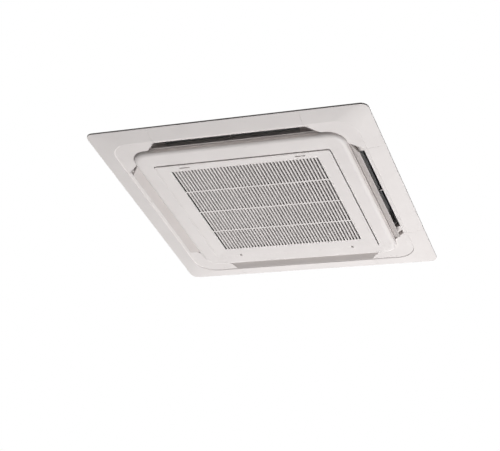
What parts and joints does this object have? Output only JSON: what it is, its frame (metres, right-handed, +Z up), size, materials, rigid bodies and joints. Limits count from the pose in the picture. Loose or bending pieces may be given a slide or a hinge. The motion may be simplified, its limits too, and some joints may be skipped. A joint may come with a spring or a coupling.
{
  "type": "ceiling cassette air conditioner",
  "caption": "Square recessed ceiling air conditioner: white panel with slotted intake grille, air vanes on every side, and a steel cabinet with fan, coil and drain pan above",
  "frame": {"origin": "centre of the ceiling plane, where the rim of the panel meets the ceiling board", "axes": "+Z up into the ceiling; X along the grille latch edge, from the drain side to the cable side; +Y towards the grille hinges and the refrigerant pipes"},
  "size_m": [0.95, 0.95, 0.2895],
  "materials": {
    "white_moulding": "satin",
    "grey_moulding": "satin",
    "black_moulding": "satin",
    "dark_foam": "matte",
    "white_foam": "matte",
    "galvanised_steel": "spangled",
    "fin_aluminium": "satin",
    "copper": "satin",
    "brass": "satin",
    "rubber": "matte",
    "circuit_board": "satin"
  },
  "bodies": {
    "unit": {"decoration_panel": "white_moulding", "corner_cover_far_right": "white_moulding", "corner_cover_far_left": "white_moulding", "corner_cover_near_left": "white_moulding", "corner_cover_near_right": "white_moulding", "outer_seal": "dark_foam", "inner_seal": "dark_foam", "hinge_pin_left": "galvanised_steel", "hinge_pin_right": "galvanised_steel", "vane_motor_near": "galvanised_steel", "vane_bush_near": "grey_moulding", "vane_motor_right": "galvanised_steel", "vane_bush_right": "grey_moulding", "vane_motor_far": "galvanised_steel", "vane_bush_far": "grey_moulding", "vane_motor_left": "galvanised_steel", "vane_bush_left": "grey_moulding", "cabinet_shell": "galvanised_steel", "cabinet_insulation": "white_foam", "drain_pan": "white_foam", "drain_plug": "rubber", "bell_mouth": "black_moulding", "fan_motor": "galvanised_steel", "motor_bracket": "galvanised_steel", "rubber_mount_1": "rubber", "rubber_mount_2": "rubber", "rubber_mount_3": "rubber", "heat_exchanger": "fin_aluminium", "coil_end_plate_far": "copper", "coil_end_plate_left": "copper", "gas_pipe": "copper", "liquid_pipe": "copper", "gas_flare_nut": "brass", "liquid_flare_nut": "brass", "pipe_cover_plate": "galvanised_steel", "drain_pump": "white_moulding", "pump_bracket": "galvanised_steel", "float_switch_stem": "white_moulding", "drain_outlet": "grey_moulding", "control_box": "galvanised_steel", "control_box_cover": "galvanised_steel", "control_board": "circuit_board", "terminal_block": "black_moulding", "hanger_far_right": "galvanised_steel", "hanger_far_left": "galvanised_steel", "hanger_near_left": "galvanised_steel", "hanger_near_right": "galvanised_steel"},
    "grille": {"intake_grille": "white_moulding", "filter_frame": "grey_moulding", "filter_net": "black_moulding"},
    "latch_left": {"latch_left": "white_moulding"},
    "latch_right": {"latch_right": "white_moulding"},
    "vane_near": {"air_vane_near": "white_moulding"},
    "vane_right": {"air_vane_right": "white_moulding"},
    "vane_far": {"air_vane_far": "white_moulding"},
    "vane_left": {"air_vane_left": "white_moulding"},
    "fan": {"turbo_fan": "black_moulding", "fan_nut": "brass", "motor_shaft": "galvanised_steel"},
    "float": {"float": "black_moulding"}
  },
  "joints": [
    {"name": "grille_swing", "type": "hinge", "parent": "unit", "child": "grille", "pos_m": [0, 0.296, -0.023], "axis": [1, 0, 0], "range_deg": [0, 90]},
    {"name": "latch_left_slide", "type": "slide", "parent": "grille", "child": "latch_left", "axis": [0, 1, 0], "range_m": [0, 0.005], "stiffness_N_per_m": 300, "springref_m": -0.003},
    {"name": "latch_right_slide", "type": "slide", "parent": "grille", "child": "latch_right", "axis": [0, 1, 0], "range_m": [0, 0.005], "stiffness_N_per_m": 300, "springref_m": -0.003},
    {"name": "vane_near_swing", "type": "hinge", "parent": "unit", "child": "vane_near", "pos_m": [0, -0.3745, -0.0065], "axis": [1, 0, 0], "range_deg": [-37, 23]},
    {"name": "vane_right_swing", "type": "hinge", "parent": "unit", "child": "vane_right", "pos_m": [0.3745, 0, -0.0065], "axis": [0, 1, 0], "range_deg": [-37, 23]},
    {"name": "vane_far_swing", "type": "hinge", "parent": "unit", "child": "vane_far", "pos_m": [0, 0.3745, -0.0065], "axis": [-1, 0, 0], "range_deg": [-37, 23]},
    {"name": "vane_left_swing", "type": "hinge", "parent": "unit", "child": "vane_left", "pos_m": [-0.3745, 0, -0.0065], "axis": [0, -1, 0], "range_deg": [-37, 23]},
    {"name": "fan_spin", "type": "hinge", "parent": "unit", "child": "fan", "pos_m": [0, 0, 0.15], "axis": [0, 0, 1], "continuous": true},
    {"name": "float_lift", "type": "slide", "parent": "unit", "child": "float", "axis": [0, 0, 1], "range_m": [0, 0.018]}
  ]
}
